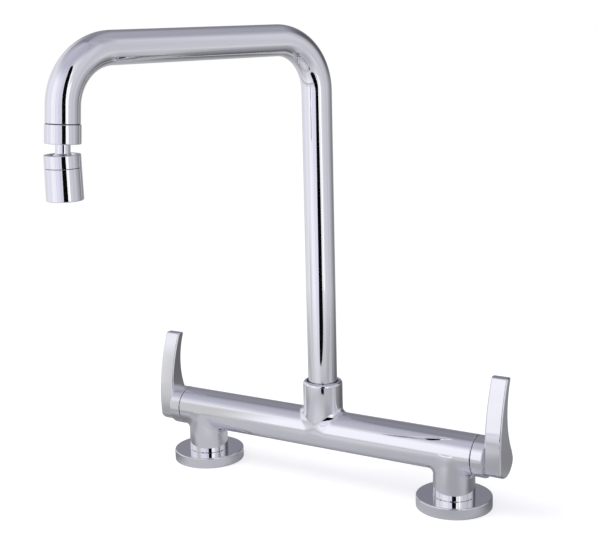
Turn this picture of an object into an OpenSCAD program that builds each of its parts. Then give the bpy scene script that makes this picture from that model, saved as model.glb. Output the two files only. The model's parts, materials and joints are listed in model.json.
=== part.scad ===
// Two-handle bridge kitchen faucet with a tall swivel spout and a ball-jointed aerator.
// The deck plane is z = 0, midway between the inlets; +X is towards the right handle, -Y the front.

/* [Inlets and deck] */
// Distance between the axes of the two inlets
inlet_spacing = 200; // [150:0.5:240]
// Thickness of the worktop that the faucet clamps
deck_thick = 20; // [10:0.5:24]
// Outer diameter of a base flange
flange_d = 51.4; // [44:0.1:60]
// Height of a base flange
flange_h = 7.8; // [6:0.1:10]
// Wall of a base flange
flange_wall = 2.4; // [1.6:0.1:3]
// Rounding of the flange's upper edge
flange_round = 0.8; // [0.3:0.1:1.4]
// Thickness of the rubber gasket under a flange
gasket_thick = 1.2; // [0.8:0.1:2]

/* [Shanks and nuts] */
// Outer diameter of the inlet thread
thread_d = 20.955; // [19:0.005:21.6]
// Water bore of a shank
shank_bore_d = 15; // [11:0.1:16.5]
// How far a shank reaches below the deck plane
shank_drop = 55; // [52:0.5:70]
// How far a shank screws up into its leg
shank_engage = 16; // [10:0.5:18]
// Length of the hose thread at the shank's free end
hose_thread_len = 16.5; // [12:0.1:17]
// Width of the groove above the hose thread
runout_len = 1.5; // [1:0.1:2.5]
// Depth of that groove
runout_depth = 0.9; // [0.5:0.1:1.2]
// Outer diameter of the rubber washer below the deck
rubber_washer_d = 40; // [32:0.5:50]
// Thickness of the rubber washer
rubber_washer_thick = 3; // [1.5:0.1:4]
// Outer diameter of the steel washer
steel_washer_d = 38; // [31:0.5:50]
// Thickness of the steel washer
steel_washer_thick = 2; // [1:0.1:3]
// Width across the flats of the lock nut
lock_nut_flats = 30; // [27:0.5:34]
// Thickness of the lock nut
lock_nut_thick = 8; // [5:0.1:9]

/* [Bridge body] */
// Diameter of the bridge tube
bridge_d = 27.8; // [26.8:0.1:32]
// Height of the bridge's axis above the deck
axis_z = 38.2; // [35:0.1:60]
// How far the bridge runs past each inlet's axis
bridge_over = 16.6; // [15.5:0.1:24]
// Diameter of a leg where it stands on its flange
leg_base_d = 28.6; // [27.4:0.1:32]
// Diameter of a leg at the bridge's axis
leg_top_d = 27.6; // [24:0.1:27.7]
// Diameter of the leg's spigot through the flange
spigot_d = 24.8; // [24:0.1:26.4]
// Diameter of the water way between the valves
waterway_d = 13; // [9:0.1:15]
// Wall of the spout socket
socket_wall = 2.55; // [1.5:0.05:2.7]
// Height of the socket's rim above the deck
socket_top = 74; // [72:0.1:90]
// Rounding of the socket's rim
socket_round = 2.2; // [0.4:0.05:2.3]

/* [Valves] */
// How far inside the inlet's axis the valve seat lies
seat_inset = 16; // [14:0.1:18]
// Outer diameter of the valve's cage
cage_d = 19.6; // [19:0.1:20.2]
// Wall of the valve's cage
cage_wall = 1.3; // [0.9:0.1:1.8]
// Thickness of the seat seal
seat_seal_thick = 3; // [2:0.1:4]
// Thickness of a ceramic disc
disc_thick = 3; // [2:0.1:3.5]
// Width across the flats of the valve's hexagon
valve_hex_flats = 19; // [17:0.1:19.8]
// Thickness of the valve's hexagon
valve_hex_thick = 4; // [2.5:0.1:4.4]
// Diameter of the valve spindle
spindle_d = 8; // [6.5:0.1:8.6]

/* [Handles] */
// Gap between the bridge and the handle's ring
ring_gap = 0.4; // [0.3:0.05:1]
// Length of the handle's ring
ring_len = 8; // [7.4:0.1:11]
// Wall of the handle's ring
ring_wall = 1.9; // [1.2:0.1:2.2]
// Thickness of the lever along the bridge
lever_thick = 11.6; // [9:0.1:14]
// Height of the lever's tip above the bridge's axis
lever_rise = 54.5; // [40:0.5:60]
// Radius of the lever's round foot
lever_foot_r = 12.7; // [11:0.1:13.2]
// How far the foot's centre stands behind the bridge's axis
lever_foot_back = 1.1; // [0:0.1:1.5]
// Radius of the lever's front curve
lever_front_r = 115; // [90:1:150]
// How far the front curve stands before the axis
lever_front = 9.8; // [8.5:0.1:10.5]
// Height of the front curve's foremost place above the axis
lever_front_rise = 5; // [2:0.1:9]
// Radius of the lever's hollow back curve
lever_back_r = 52; // [45:1:70]
// How far the back curve stays behind the axis at its deepest
lever_back = 2.4; // [0.5:0.1:3]
// Height of the back curve's deepest place above the axis
lever_back_rise = 32; // [28:0.1:34]
// Width of the bevel along the lever's inner front edge
lever_bevel = 0.8; // [0.5:0.1:3]
// Diameter of the grub screw
grub_d = 4; // [3:0.5:5]
// Length of the grub screw
grub_len = 8; // [5:0.5:8.5]
// Width across the spindle's square
square_flats = 5.6; // [4.6:0.1:6]

/* [Spout] */
// Outer diameter of the spout tube
tube_d = 20.2; // [19:0.1:20.6]
// Wall of the spout tube
tube_wall = 1; // [0.7:0.1:1.4]
// How much thicker than the tube the wall of the threaded ferrule at its end is
ferrule_step = 0.6; // [0.3:0.1:0.9]
// Height of the spout arm's axis above the deck
arm_z = 309; // [240:0.5:380]
// Distance from the riser's axis to the drop's axis, along the arm
reach = 190.7; // [140:0.1:240]
// Radius of the two bends' centre line
bend_r = 34; // [28:0.5:45]
// How far the drop leans outward at its foot, in degrees
drop_tilt = 4.2; // [0:0.1:8]
// How far the spout is swung to the left at rest, in degrees
spout_swing = 17.8; // [-90:0.1:90]
// Length of the drop from the arm's axis to the tube's end
drop_len = 41.1; // [39:0.1:60]
// How far the bush that turns in the socket stands out past the tube
bush_step = 1.1; // [0.9:0.1:1.3]
// Depth of the tube's pocket in the bush
bush_pocket = 8; // [5:0.1:10]
// Thickness of the slip ring on top of the bush
slip_ring_thick = 2.4; // [1.5:0.1:3]
// Depth of the slip ring below the socket's rim
slip_ring_sunk = 1.4; // [0.5:0.1:2]
// Thickness of the retaining ring
retaining_thick = 1.6; // [1:0.1:2]
// Width of the slot in the retaining ring
retaining_slot = 4; // [2:0.5:8]
// Cord diameter of the bush's O-rings
bush_oring_d = 1.8; // [1.6:0.05:2.2]

/* [Outlet] */
// How far the collar stands out past the tube
collar_step = 0.4; // [0.2:0.05:0.9]
// Length of the collar
collar_len = 11; // [9:0.1:14]
// Width of the groove between the tube and the collar
collar_groove = 0.4; // [0.3:0.05:0.8]
// Diameter of the stem's neck, as a share of the tube's diameter
neck_share = 0.43; // [0.38:0.005:0.455]
// Distance from the collar's lower face to the ball's centre
ball_drop = 11.3; // [11:0.1:14]
// Diameter of the ball, as a share of the tube's diameter
ball_share = 0.713; // [0.675:0.001:0.74]
// Diameter of the water bore through the stem
stem_bore_d = 5.2; // [3:0.1:5.6]
// How far the ball ring stands out past the tube
ball_ring_step = 0.5; // [0.2:0.05:0.9]
// Height of the ball ring's rim above the ball's centre
ball_ring_up = 5.3; // [5:0.1:5.8]
// Distance from the ball's centre down to the ring's lower edge
ball_ring_down = 2.1; // [1.5:0.1:3]
// How far the aerator shell stands out past the tube at its foot
shell_step = 0.7; // [0.4:0.05:1.4]
// Length of the aerator shell
shell_len = 18.6; // [17.5:0.1:24]
// Wall of the aerator shell at its foot
shell_wall = 1.5; // [1.2:0.1:2]
// Diameter of a water hole in the aerator insert
insert_hole_d = 1.7; // [1:0.1:1.9]

/* [Hidden] */
$fn = 96;

// Overrun of every cut past the face that it opens
over = 0.5;
// Gap at threads and other pieces that are screwed or pressed together
thread_gap = 0.05;
// Radial gap of a shaft that turns in its bore
running_gap = 0.05;
// Gap between pieces that turn past each other
turning_gap = 0.3;
// Gap between the two ceramic discs
disc_gap = 0.05;
// Small chamfer at the ends of threads
thread_chamfer = 1;

inlet_x = inlet_spacing / 2;
bridge_half = inlet_x + bridge_over;
seat_u = inlet_x - seat_inset;
thread_r = thread_d / 2;
// Space round the shank in the gasket and the washers
shank_space = 0.5;
// How far the gasket's recess reaches into the flange's wall
recess_step = 0.25;
gasket_d = flange_d - 2 * flange_wall + 2 * recess_step;
nut_top_z = -deck_thick - rubber_washer_thick - steel_washer_thick;

// The valve, measured outward from its seat
valve_depth = bridge_half - seat_u;
cage_bore_d = cage_d - 2 * cage_wall;
// How far the seat seal stands out of the cage
seal_proud = 0.6;
// How far the seat seal reaches inside the edge of the water way
seal_lip = 0.5;
disc_start = seat_seal_thick;
moving_start = disc_start + disc_thick + disc_gap;
driver_start = moving_start + disc_thick;
// Thickness of the disc that drives the moving ceramic disc
driver_thick = 2.2;
// Length of the spindle's shoulder behind that disc
shoulder_len = 3.5;
cage_end = driver_start + driver_thick + shoulder_len + turning_gap;
disc_d = cage_bore_d - 2 * thread_gap;
moving_d = cage_bore_d - 2 * turning_gap;
driver_d = moving_d - 2 * turning_gap;
// Step from the spindle out to its shoulder
shoulder_step = 1.6;
shoulder_d = spindle_d + 2 * shoulder_step;
// Diameter of a disc's port and its distance from the axis, as shares of the cage's bore
port_share = 0.28;
port_offset_share = 0.26;
port_d = cage_bore_d * port_share;
port_offset = cage_bore_d * port_offset_share;
// Threaded part of the valve's depth
valve_thread_share = 0.33;
valve_thread_len = valve_depth * valve_thread_share;
// Depth of the valve's O-ring groove below the cage
valve_groove_depth = 1;
valve_oring_d = (thread_d - cage_d) / 2 + valve_groove_depth;
// Distance from the cage's end to the O-ring, as a share of its cord
valve_oring_share = 1.5;
valve_oring_at = cage_end + valve_oring_d * valve_oring_share;
valve_groove_d = thread_d - 2 * valve_oring_d;
// Diameter of the neck before the hexagon, as a share of its width
valve_neck_share = 0.7;
valve_neck_d = valve_hex_flats * valve_neck_share;
// Length of the round neck in front of the valve's hexagon
valve_neck_len = 1.2;
// Cord diameter of the spindle's O-ring
spindle_oring_d = 1.8;
// How far the spindle's O-ring chamber reaches outside the spindle
gland_depth = 1.2;
gland_d = spindle_d + 2 * gland_depth;
// Distance of the chamber from the thread's outer end, as a share of the thread
gland_share = 0.6;
gland_start = valve_depth - valve_thread_len * gland_share;
gland_len = spindle_oring_d + 2 * running_gap;
spindle_groove_d = gland_d - 2 * running_gap - 2 * spindle_oring_d;

// The handle, measured outward from the middle of the bridge
ring_u = bridge_half + ring_gap;
ring_end = ring_u + ring_len;
ring_bore_d = bridge_d - 2 * ring_wall;
ring_floor_u = bridge_half + valve_hex_thick + valve_neck_len + turning_gap + ring_gap;
square_start = ring_floor_u - turning_gap;
square_end = ring_end + lever_thick / 2;
grub_u = (ring_end + square_end) / 2;
grub_top = square_flats / 2 + thread_gap;
// Width across the flats of the grub screw's socket, as a share of the screw's diameter
grub_key_share = 0.5;

// The spout
spout_angle = -90 - spout_swing;
tube_bore_d = tube_d - 2 * tube_wall;
bush_d = tube_d + 2 * bush_step;
bend_turn = 90 - drop_tilt;
bend_tangent = bend_r * tan(bend_turn / 2);
arm_len = reach - bend_tangent - bend_r;
bush_bore_d = bush_d + 2 * running_gap;
socket_d = bush_bore_d + 2 * socket_wall;
bush_top = socket_top - slip_ring_sunk - slip_ring_thick;
bush_oring_w = bush_oring_d + 2 * turning_gap;
bush_groove_d = bush_d - 2 * bush_oring_d;
// Width of a land between the bush's grooves
bush_land = 1.8;
retaining_w = retaining_thick + turning_gap;
bush_len = bush_pocket + 4 * bush_land + 2 * bush_oring_w + retaining_w;
bush_bottom = bush_top - bush_len;
oring_low = bush_bottom + bush_land;
oring_high = oring_low + bush_oring_w + bush_land;
retaining_at = oring_high + bush_oring_w + bush_land;
tube_bottom = bush_top - bush_pocket;
// Width of the shelf on which the tube stands in the bush
bush_shelf = 0.5;
bush_water_d = tube_bore_d - 2 * bush_shelf;
// How far the retaining ring bites into the bush and into the socket
retaining_bite = 0.5;

// The outlet, measured down the drop from the arm's axis
collar_d = tube_d + 2 * collar_step;
collar_start = drop_len + collar_groove;
collar_end = collar_start + collar_len;
// Length of the collar's spigot, as a share of the ferrule
spigot_share = 0.7;
spigot_len = (drop_len - bend_tangent) * spigot_share;
spigot_outer_d = tube_bore_d - 2 * ferrule_step - 2 * thread_gap;
// Wall of the collar's spigot, as a share of its diameter
spigot_wall_share = 0.13;
collar_bore_d = spigot_outer_d - 2 * spigot_outer_d * spigot_wall_share;
neck_d = tube_d * neck_share;
// Thickness of the collar's floor under the stem's head
collar_floor = 3;
// Thickness of the seal under the stem's head
stem_seal_thick = 1;
// Thickness of the stem's head
stem_head_thick = 2.6;
stem_head_d = collar_bore_d - 2 * turning_gap;
// Bore of the collar's floor and of the stem's seal, as a share of the head's diameter
neck_hole_share = 0.822;
neck_hole_d = stem_head_d * neck_hole_share;
head_start = collar_end - collar_floor - stem_seal_thick - stem_head_thick;
ball_at = collar_end + ball_drop;
ball_d = tube_d * ball_share;
// Distance from the ball's centre to its flat foot, as a share of its diameter
ball_flat_share = 0.36;
ball_flat = ball_d * ball_flat_share;

// The aerator, measured down from the ball's centre
ball_seat_d = ball_d + 2 * running_gap;
// Diameter of the ring's narrowest place, as a share of the ball's diameter
ball_mouth_share = 0.9;
ball_mouth_d = ball_d * ball_mouth_share;
ball_mouth_up = sqrt(ball_seat_d * ball_seat_d - ball_mouth_d * ball_mouth_d) / 2;
// How far the ring's mouth widens to each side up to its rim
rim_mouth_step = 1;
rim_mouth_d = ball_mouth_d + 2 * rim_mouth_step;
ball_ring_d = tube_d + 2 * ball_ring_step;
// Gap between the ball ring and the aerator shell
shell_groove = 0.3;
shell_start = ball_ring_down + shell_groove;
shell_end = shell_start + shell_len;
shell_d = tube_d + 2 * shell_step;
shell_bore_d = shell_d - 2 * shell_wall;
// Width and thickness of the lip that holds the insert in the shell
shell_lip = 1.2;
// Rounding of the shell's lower edge
shell_round = 0.7;
// Length of the threaded spigot that enters the shell
ring_spigot_len = 5;
ring_spigot_end = ball_ring_down + ring_spigot_len;
// Thickness of the ball's seal
ball_seal_thick = 3.2;
// Bore of the ball's seal, as a share of the ball's diameter
ball_seal_share = 0.55;
ball_seal_bore_d = ball_d * ball_seal_share;
// Thickness of the flow regulator
regulator_thick = 1.5;
regulator_at = ring_spigot_end + disc_gap;
// Thickness of the strainer
strainer_thick = 0.8;
strainer_at = regulator_at + regulator_thick;
insert_at = strainer_at + strainer_thick;
insert_end = shell_end - shell_lip;
insert_d = shell_bore_d - 2 * thread_gap;
// Wall of the aerator insert
insert_wall = 1;
// Thickness of the insert's grid
insert_grid_thick = 2.5;
// Rings of holes round the insert's middle hole
insert_rings = 3;
// Distance of the outer ring of holes from the insert's wall
insert_edge = 0.25;
insert_pitch = (insert_d / 2 - insert_wall - insert_edge - insert_hole_d / 2) / insert_rings;

module on_side(side) {
    mirror([side < 0 ? 1 : 0, 0, 0]) children();
}

// Local z runs outward along the bridge from u, local x is world Y and local y is world Z
module along_x(u) {
    translate([u, 0, axis_z]) rotate([90, 0, 90]) children();
}

// Local x runs out along the arm, local z is up
module in_spout_plane() {
    rotate([0, 0, spout_angle]) children();
}

// Local z runs down the drop from the arm's axis
module down_drop(distance) {
    in_spout_plane()
        translate([reach, 0, arm_z])
            rotate([0, 180 - drop_tilt, 0])
                translate([0, 0, distance]) children();
}

// Local z runs straight down from the ball's centre
module under_ball(distance) {
    in_spout_plane()
        translate([reach + ball_at * sin(drop_tilt), 0, arm_z - ball_at * cos(drop_tilt)])
            rotate([0, 180, 0])
                translate([0, 0, distance]) children();
}

// A flat ring or sleeve standing on z = 0
module ring(outer_d, inner_d, height) {
    difference() {
        cylinder(d = outer_d, h = height);
        translate([0, 0, -over]) cylinder(d = inner_d, h = height + 2 * over);
    }
}

// An O-ring lying round local z, from outside diameter and cord diameter
module oring(outer_d, cord_d) {
    rotate_extrude() translate([(outer_d - cord_d) / 2, 0]) circle(d = cord_d);
}

// A post standing on z = 0 with a rounded upper edge
module rounded_post(post_d, height, round_r) {
    cylinder(d = post_d, h = height - round_r);
    cylinder(d = post_d - 2 * round_r, h = height);
    translate([0, 0, height - round_r])
        rotate_extrude() translate([post_d / 2 - round_r, 0]) circle(r = round_r);
}

module bridge_body() {
    color("silver") difference() {
        union() {
            along_x(-bridge_half) cylinder(d = bridge_d, h = 2 * bridge_half);
            for (side = [-1, 1]) translate([side * inlet_x, 0, 0]) {
                translate([0, 0, flange_h])
                    cylinder(d1 = leg_base_d, d2 = leg_top_d, h = axis_z - flange_h);
                translate([0, 0, gasket_thick])
                    cylinder(d = spigot_d, h = axis_z - gasket_thick);
            }
            translate([0, 0, axis_z]) rounded_post(socket_d, socket_top - axis_z, socket_round);
        }
        along_x(-bridge_half) cylinder(d = waterway_d, h = 2 * bridge_half);
        for (side = [-1, 1]) {
            on_side(side) along_x(seat_u) cylinder(d = thread_d, h = valve_depth + over);
            translate([side * inlet_x, 0, 0]) {
                cylinder(d = shank_bore_d, h = axis_z);
                cylinder(r = thread_r + thread_gap, h = shank_engage + over);
            }
        }
        translate([0, 0, axis_z]) cylinder(d = waterway_d, h = socket_top - axis_z);
        translate([0, 0, bush_bottom])
            cylinder(d = bush_bore_d, h = socket_top - bush_bottom + over);
        translate([0, 0, retaining_at - turning_gap])
            cylinder(d = bush_d + 2 * retaining_bite + 2 * turning_gap,
                     h = retaining_w + 2 * turning_gap);
    }
}

module flange(side) {
    color("silver") translate([side * inlet_x, 0, 0]) difference() {
        rounded_post(flange_d, flange_h, flange_round);
        translate([0, 0, -over]) cylinder(d = spigot_d + 2 * thread_gap, h = flange_h + 2 * over);
        translate([0, 0, -over]) cylinder(d = gasket_d, h = gasket_thick + over);
        translate([0, 0, gasket_thick - over])
            ring(flange_d - 2 * flange_wall, spigot_d + 2 * flange_wall,
                 flange_h - flange_wall - gasket_thick + over);
    }
}

module base_gasket(side) {
    color("dimgray") translate([side * inlet_x, 0, 0])
        ring(gasket_d - 2 * thread_gap, thread_d + 2 * shank_space, gasket_thick);
}

module shank(side) {
    shank_len = shank_drop + shank_engage;
    color("gold") translate([side * inlet_x, 0, -shank_drop]) difference() {
        union() {
            cylinder(r1 = thread_r - thread_chamfer, r2 = thread_r, h = thread_chamfer);
            translate([0, 0, thread_chamfer]) cylinder(r = thread_r, h = shank_len - thread_chamfer);
        }
        translate([0, 0, -over]) cylinder(d = shank_bore_d, h = shank_len + 2 * over);
        translate([0, 0, hose_thread_len])
            ring(thread_d + 2 * over, thread_d - 2 * runout_depth, runout_len);
    }
}

module rubber_washer(side) {
    color("dimgray") translate([side * inlet_x, 0, -deck_thick - rubber_washer_thick])
        ring(rubber_washer_d, thread_d + 2 * shank_space, rubber_washer_thick);
}

module steel_washer(side) {
    color("lightgray") translate([side * inlet_x, 0, nut_top_z])
        ring(steel_washer_d, thread_d + 2 * shank_space, steel_washer_thick);
}

module lock_nut(side) {
    color("gold") translate([side * inlet_x, 0, nut_top_z - lock_nut_thick]) difference() {
        cylinder(r = lock_nut_flats / sqrt(3), h = lock_nut_thick, $fn = 6);
        translate([0, 0, -over])
            cylinder(r = thread_r + thread_gap, h = lock_nut_thick + 2 * over);
    }
}

module valve_body(side) {
    body_end = valve_depth + valve_hex_thick + valve_neck_len;
    color("gold") on_side(side) along_x(seat_u) difference() {
        union() {
            translate([0, 0, seal_proud]) cylinder(d = cage_d, h = valve_depth - seal_proud);
            translate([0, 0, valve_depth - valve_thread_len])
                cylinder(d = thread_d - 2 * thread_gap, h = valve_thread_len);
            translate([0, 0, valve_depth])
                cylinder(r = valve_hex_flats / sqrt(3), h = valve_hex_thick, $fn = 6);
            translate([0, 0, valve_depth]) cylinder(d = valve_neck_d, h = body_end - valve_depth);
        }
        translate([0, 0, seal_proud - over]) cylinder(d = cage_bore_d, h = cage_end - seal_proud + over);
        translate([0, 0, cage_end - over]) cylinder(d = spindle_d + 2 * running_gap, h = body_end);
        translate([0, 0, gland_start]) cylinder(d = gland_d, h = gland_len);
        translate([0, 0, valve_oring_at - valve_oring_d / 2])
            ring(thread_d + 2 * over, valve_groove_d, valve_oring_d);
        for (turn = [0, 180]) rotate([0, 0, turn])
            translate([cage_bore_d / 2 - cage_wall, -port_d / 2, driver_start])
                cube([3 * cage_wall, port_d, cage_end - driver_start - turning_gap]);
    }
}

module valve_oring(side) {
    color("black") on_side(side) along_x(seat_u + valve_oring_at)
        oring(thread_d - 2 * thread_gap, valve_oring_d - 2 * thread_gap);
}

module seat_seal(side) {
    color("black") on_side(side) along_x(seat_u)
        ring(cage_bore_d - 2 * thread_gap, waterway_d - 2 * seal_lip, seat_seal_thick);
}

module valve_disc(disc_size, turn) {
    difference() {
        cylinder(d = disc_size, h = disc_thick);
        for (half_turn = [0, 180]) rotate([0, 0, turn + half_turn])
            translate([port_offset, 0, -over]) cylinder(d = port_d, h = disc_thick + 2 * over);
    }
}

module fixed_disc(side) {
    color("white") on_side(side) along_x(seat_u + disc_start) valve_disc(disc_d, 0);
}

module moving_disc(side) {
    color("lightgray") on_side(side) along_x(seat_u + moving_start) valve_disc(moving_d, 90);
}

module spindle(side) {
    round_end = square_start - seat_u - driver_start;
    color("gold") on_side(side) along_x(seat_u + driver_start) difference() {
        union() {
            intersection() {
                cylinder(d = driver_d, h = driver_thick);
                translate([-driver_d / 2, -shoulder_d / 2, 0])
                    cube([driver_d, shoulder_d, driver_thick]);
            }
            cylinder(d = shoulder_d, h = driver_thick + shoulder_len);
            cylinder(d = spindle_d, h = round_end);
            translate([-square_flats / 2, -square_flats / 2, 0])
                cube([square_flats, square_flats, square_end - seat_u - driver_start]);
        }
        translate([0, 0, gland_start - driver_start])
            ring(spindle_d + 2 * over, spindle_groove_d, gland_len);
    }
}

module spindle_oring(side) {
    color("black") on_side(side) along_x(seat_u + gland_start + gland_len / 2)
        oring(gland_d - 2 * running_gap, spindle_oring_d);
}

// The lever seen along the bridge, with the axis at the origin and the front to the left
module lever_outline() {
    difference() {
        intersection() {
            translate([lever_front_r - lever_front, lever_front_rise]) circle(r = lever_front_r);
            union() {
                translate([lever_foot_back, 0]) circle(r = lever_foot_r);
                translate([lever_foot_back - lever_foot_r, 0]) square([2 * lever_foot_r, lever_rise]);
            }
        }
        translate([lever_back + lever_back_r, lever_back_rise]) circle(r = lever_back_r);
    }
}

// The lever with its inner front edge bevelled, the bevel following the front curve
module lever() {
    intersection() {
        linear_extrude(height = lever_thick) lever_outline();
        translate([lever_front_r - lever_front, lever_front_rise, 0]) union() {
            cylinder(r1 = lever_front_r - lever_bevel, r2 = lever_front_r, h = lever_bevel);
            translate([0, 0, lever_bevel]) cylinder(r = lever_front_r + over, h = lever_thick);
        }
    }
}

module handle(side) {
    square_hole = square_flats + 2 * thread_gap;
    color("silver") on_side(side) difference() {
        union() {
            along_x(ring_u) cylinder(d = bridge_d, h = ring_len);
            along_x(ring_end) lever();
        }
        along_x(ring_u - over) cylinder(d = ring_bore_d, h = ring_floor_u - ring_u + over);
        along_x(ring_floor_u - over)
            translate([-square_hole / 2, -square_hole / 2, 0])
                cube([square_hole, square_hole, square_end - ring_floor_u + 2 * over]);
        translate([grub_u, 0, axis_z - bridge_d])
            cylinder(d = grub_d + 2 * thread_gap, h = bridge_d);
    }
}

module grub_screw(side) {
    key_r = grub_d * grub_key_share / sqrt(3);
    color("dimgray") on_side(side) translate([grub_u, 0, axis_z - grub_top - grub_len]) difference() {
        cylinder(d = grub_d, h = grub_len);
        translate([0, 0, -over]) cylinder(r = key_r, h = grub_d / 2 + over, $fn = 6);
    }
}

// The ring that is swept along the spout
module tube_section() {
    difference() {
        circle(d = tube_d);
        circle(d = tube_bore_d);
    }
}

// A bend round local y, from straight above its centre, turning back for a positive turn
module tube_bend(turn) {
    rotate([90, 0, 0]) rotate([0, 0, 90])
        rotate_extrude(angle = turn) translate([bend_r, 0]) tube_section();
}

module spout_tube() {
    color("silver") in_spout_plane() translate([bend_r, 0, arm_z - bend_r]) {
        translate([-bend_r, 0, 0]) mirror([0, 0, 1])
            linear_extrude(height = arm_z - bend_r - tube_bottom) tube_section();
        tube_bend(90);
        translate([0, 0, bend_r]) rotate([0, 90, 0]) linear_extrude(height = arm_len) tube_section();
        translate([arm_len, 0, 0]) tube_bend(-bend_turn);
    }
}

module spout_ferrule() {
    color("silver") down_drop(bend_tangent)
        ring(tube_d, tube_bore_d - 2 * ferrule_step, drop_len - bend_tangent);
}

module spout_bush() {
    color("gold") translate([0, 0, bush_bottom]) difference() {
        cylinder(d = bush_d, h = bush_len);
        translate([0, 0, -over]) cylinder(d = bush_water_d, h = bush_len + 2 * over);
        translate([0, 0, bush_len - bush_pocket])
            cylinder(d = tube_d + 2 * thread_gap, h = bush_pocket + over);
        for (groove_z = [oring_low, oring_high]) translate([0, 0, groove_z - bush_bottom])
            ring(bush_d + 2 * over, bush_groove_d, bush_oring_w);
        translate([0, 0, retaining_at - bush_bottom])
            ring(bush_d + 2 * over, bush_d - 2 * retaining_bite - 2 * thread_gap, retaining_w);
    }
}

module bush_orings() {
    color("black") for (groove_z = [oring_low, oring_high])
        translate([0, 0, groove_z + bush_oring_w / 2]) oring(bush_d, bush_oring_d);
}

module retaining_ring() {
    ring_d = bush_d + 2 * retaining_bite;
    color("gold") translate([0, 0, retaining_at]) difference() {
        ring(ring_d, bush_d - 2 * retaining_bite, retaining_thick);
        translate([0, -retaining_slot / 2, -over])
            cube([ring_d, retaining_slot, retaining_thick + 2 * over]);
    }
}

module slip_ring() {
    color("black") translate([0, 0, bush_top])
        ring(bush_d, tube_d + 2 * thread_gap, slip_ring_thick);
}

module spout_collar() {
    color("silver") down_drop(collar_start) difference() {
        union() {
            cylinder(d = collar_d, h = collar_len);
            translate([0, 0, -spigot_len])
                cylinder(d = spigot_outer_d, h = spigot_len + collar_len / 2);
        }
        translate([0, 0, -spigot_len - over])
            cylinder(d = collar_bore_d, h = spigot_len + collar_len - collar_floor + over);
        cylinder(d = neck_hole_d, h = collar_len + over);
    }
}

module collar_gasket() {
    color("black") down_drop(drop_len)
        ring(tube_d - tube_wall / 2, spigot_outer_d + 2 * thread_gap, collar_groove);
}

module stem_seal() {
    color("black") down_drop(collar_end - collar_floor - stem_seal_thick)
        ring(stem_head_d, neck_hole_d, stem_seal_thick);
}

module ball_stem() {
    color("silver") down_drop(head_start) difference() {
        union() {
            cylinder(d = stem_head_d, h = stem_head_thick);
            cylinder(d = neck_d, h = ball_at - head_start);
            difference() {
                translate([0, 0, ball_at - head_start]) sphere(d = ball_d);
                translate([0, 0, ball_at - head_start + ball_flat])
                    cylinder(d = ball_d, h = ball_d);
            }
        }
        translate([0, 0, -over])
            cylinder(d = stem_bore_d, h = ball_at - head_start + ball_d);
    }
}

module ball_ring() {
    color("silver") under_ball(-ball_ring_up) difference() {
        union() {
            cylinder(d = ball_ring_d, h = ball_ring_up + ball_ring_down);
            cylinder(d = shell_bore_d - 2 * thread_gap, h = ball_ring_up + ring_spigot_end);
        }
        translate([0, 0, ball_ring_up]) sphere(d = ball_seat_d);
        translate([0, 0, ball_ring_up]) cylinder(d = ball_seat_d, h = ring_spigot_end + over);
        translate([0, 0, ball_ring_up - ball_mouth_up - over])
            cylinder(d = ball_mouth_d, h = ball_mouth_up);
        cylinder(d1 = rim_mouth_d, d2 = ball_mouth_d, h = ball_ring_up - ball_mouth_up);
    }
}

module ball_seal() {
    color("black") under_ball(ring_spigot_end - ball_seal_thick) difference() {
        ring(ball_seat_d - 2 * thread_gap, ball_seal_bore_d, ball_seal_thick);
        translate([0, 0, ball_seal_thick - ring_spigot_end]) sphere(d = ball_seat_d);
    }
}

module aerator_shell() {
    color("silver") under_ball(shell_start) difference() {
        union() {
            cylinder(d1 = ball_ring_d, d2 = shell_d, h = shell_len - shell_round);
            cylinder(d = shell_d - 2 * shell_round, h = shell_len);
            translate([0, 0, shell_len - shell_round])
                rotate_extrude() translate([shell_d / 2 - shell_round, 0]) circle(r = shell_round);
        }
        translate([0, 0, -over]) cylinder(d = shell_bore_d, h = shell_len - shell_lip + over);
        cylinder(d = shell_bore_d - 2 * shell_lip, h = shell_len + over);
    }
}

module flow_regulator() {
    color("seagreen") under_ball(regulator_at) difference() {
        cylinder(d = insert_d, h = regulator_thick);
        for (turn = [0 : 60 : 300]) rotate([0, 0, turn])
            translate([insert_d / 4, 0, -over])
                cylinder(d = insert_hole_d, h = regulator_thick + 2 * over);
    }
}

module strainer() {
    color("lightgray") under_ball(strainer_at) difference() {
        cylinder(d = insert_d, h = strainer_thick);
        for (row = [1 : insert_rings], spot = [0 : 6 * row - 1])
            rotate([0, 0, spot * 60 / row])
                translate([row * insert_pitch, 0, -over])
                    cylinder(d = insert_hole_d / 2, h = strainer_thick + 2 * over);
    }
}

module aerator_insert() {
    insert_len = insert_end - insert_at;
    color("whitesmoke") under_ball(insert_at) difference() {
        cylinder(d = insert_d, h = insert_len);
        translate([0, 0, -over])
            cylinder(d = insert_d - 2 * insert_wall, h = insert_len - insert_grid_thick + over);
        translate([0, 0, -over]) cylinder(d = insert_hole_d, h = insert_len + 2 * over);
        for (row = [1 : insert_rings], spot = [0 : 6 * row - 1])
            rotate([0, 0, spot * 60 / row])
                translate([row * insert_pitch, 0, -over])
                    cylinder(d = insert_hole_d, h = insert_len + 2 * over);
    }
}

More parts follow.
